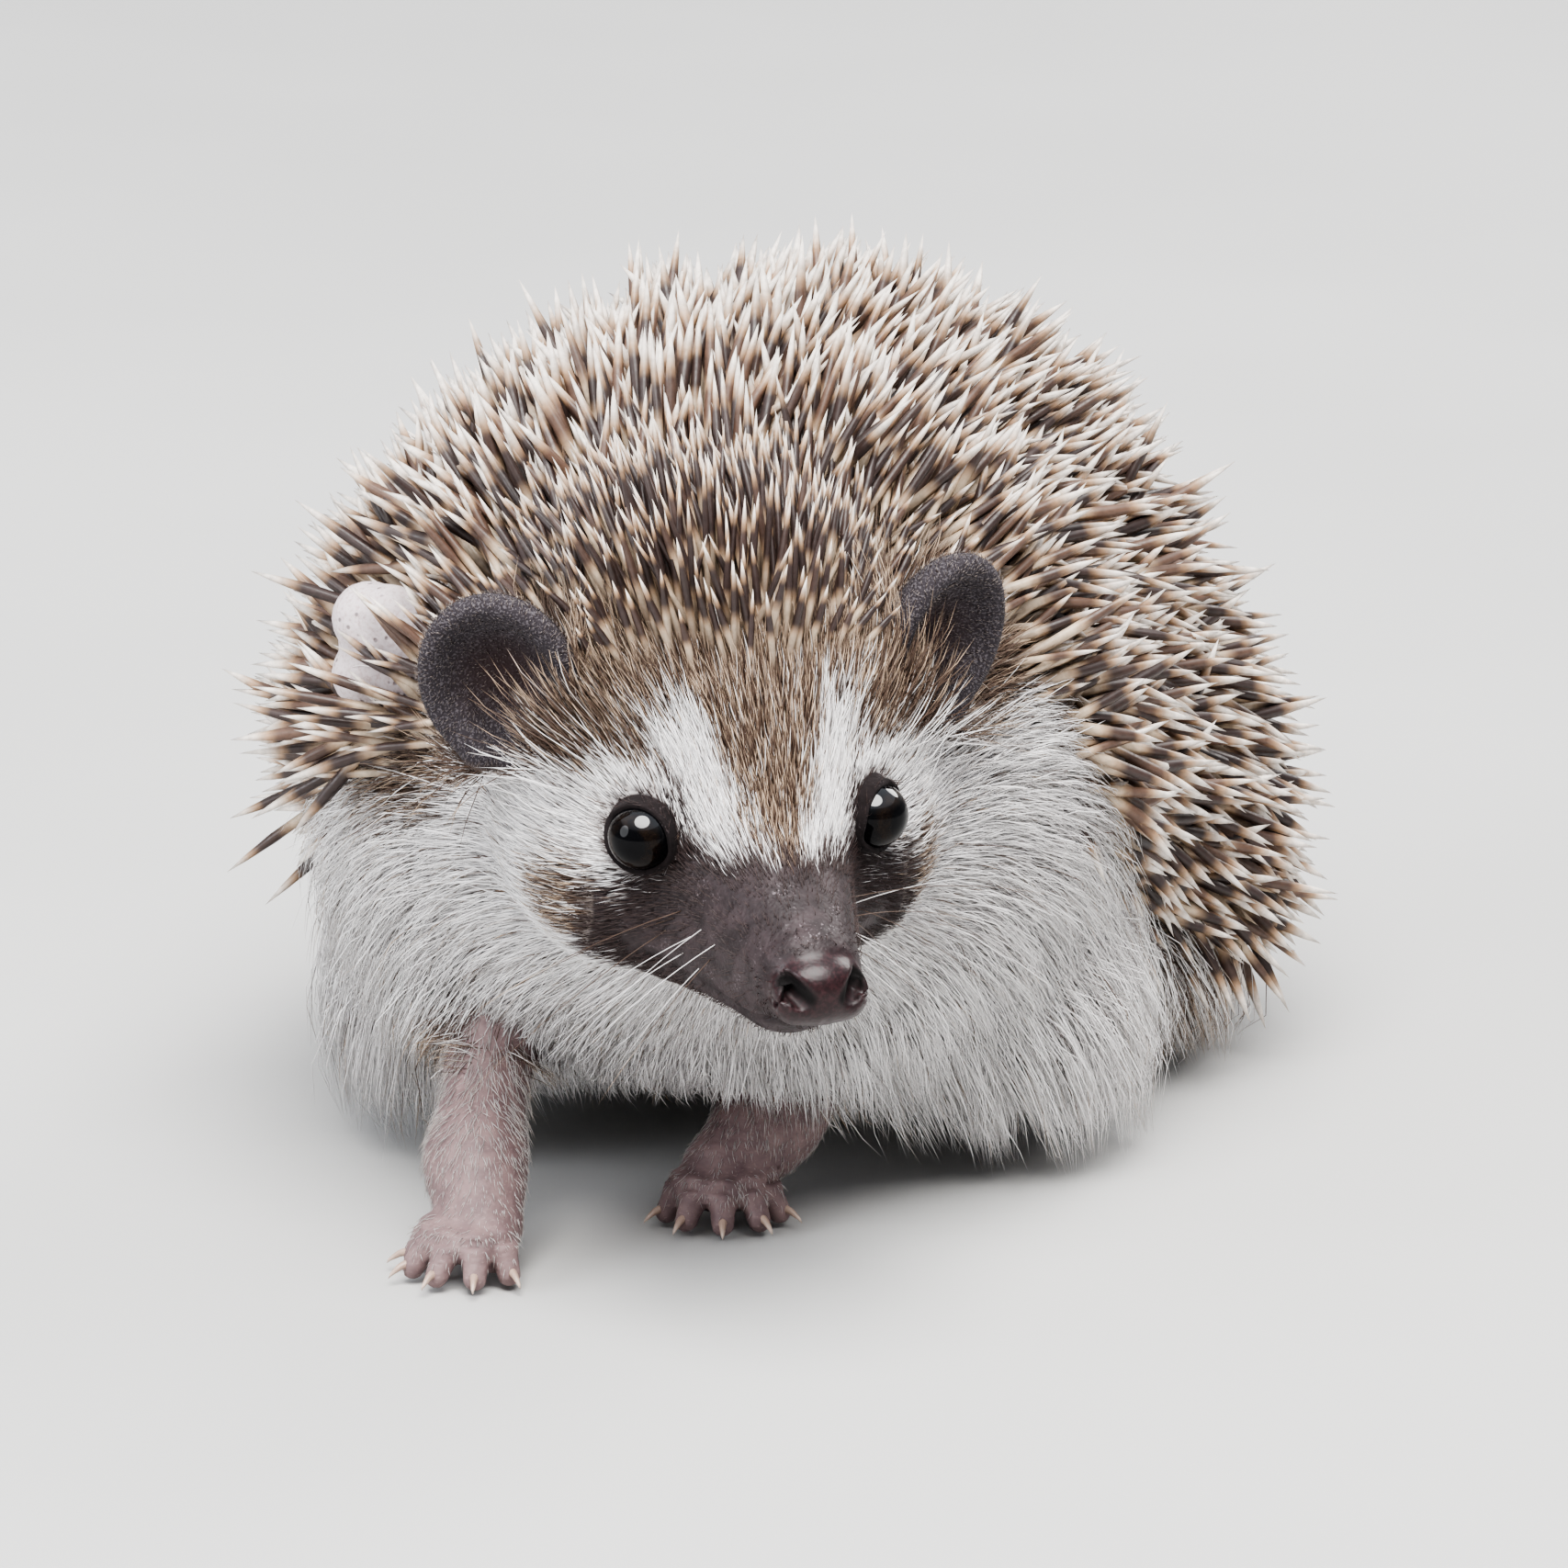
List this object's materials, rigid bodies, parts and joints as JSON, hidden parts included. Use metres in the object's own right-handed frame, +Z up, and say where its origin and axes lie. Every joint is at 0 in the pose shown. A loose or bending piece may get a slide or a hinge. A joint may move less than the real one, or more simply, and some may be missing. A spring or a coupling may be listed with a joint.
{
  "type": "hedgehog animal model",
  "caption": "Life-size standing hedgehog in mid step, head lowered and turned to its left, quilled back, furred face and flanks, bare legs and clawed feet.",
  "frame": {"origin": "the point on the floor under the middle of the animal's outline as seen from above", "axes": "the trunk runs along Y with the nose end towards -Y; the animal's left side is +X; +Z is up, and the feet stand at Z = 0"},
  "size_m": [0.1012, 0.155, 0.0867],
  "materials": {
    "spines": "stiff cream quills with a dark brown band and pale tips, satin",
    "white_fur": "soft white to cream fur, long on the flanks",
    "face_fur": "short white fur with brown patches, thin over the muzzle",
    "ear_skin": "dark grey-brown skin with a fine pale velvet",
    "nose_skin": "moist dark maroon-brown skin",
    "leg_skin": "pinkish brown skin with sparse short hairs",
    "claw_horn": "pale horn",
    "eye_black": "wet, near black"
  },
  "bodies": {
    "root": {"belly": "white_fur", "chest": "white_fur", "claw_fore_left_1": "claw_horn", "claw_fore_left_2": "claw_horn", "claw_fore_left_3": "claw_horn", "claw_fore_left_4": "claw_horn", "claw_fore_left_5": "claw_horn", "claw_fore_right_1": "claw_horn", "claw_fore_right_2": "claw_horn", "claw_fore_right_3": "claw_horn", "claw_fore_right_4": "claw_horn", "claw_fore_right_5": "claw_horn", "claw_hind_left_1": "claw_horn", "claw_hind_left_2": "claw_horn", "claw_hind_left_3": "claw_horn", "claw_hind_left_4": "claw_horn", "claw_hind_right_1": "claw_horn", "claw_hind_right_2": "claw_horn", "claw_hind_right_3": "claw_horn", "claw_hind_right_4": "claw_horn", "crown": "spines", "ear_left": "ear_skin", "ear_right": "ear_skin", "eye_left": "eye_black", "eye_right": "eye_black", "flank_rear": "white_fur", "forefoot_left": "leg_skin", "forefoot_right": "leg_skin", "foreleg_left": "leg_skin", "foreleg_right": "leg_skin", "head": "face_fur", "hindfoot_left": "leg_skin", "hindfoot_right": "leg_skin", "lower_jaw": "face_fur", "mantle_front": "spines", "mantle_middle": "spines", "mantle_rear": "spines", "neck": "spines", "nose": "nose_skin", "rump": "spines", "snout": "face_fur", "tail": "leg_skin", "throat": "white_fur"}
  },
  "joints": []
}
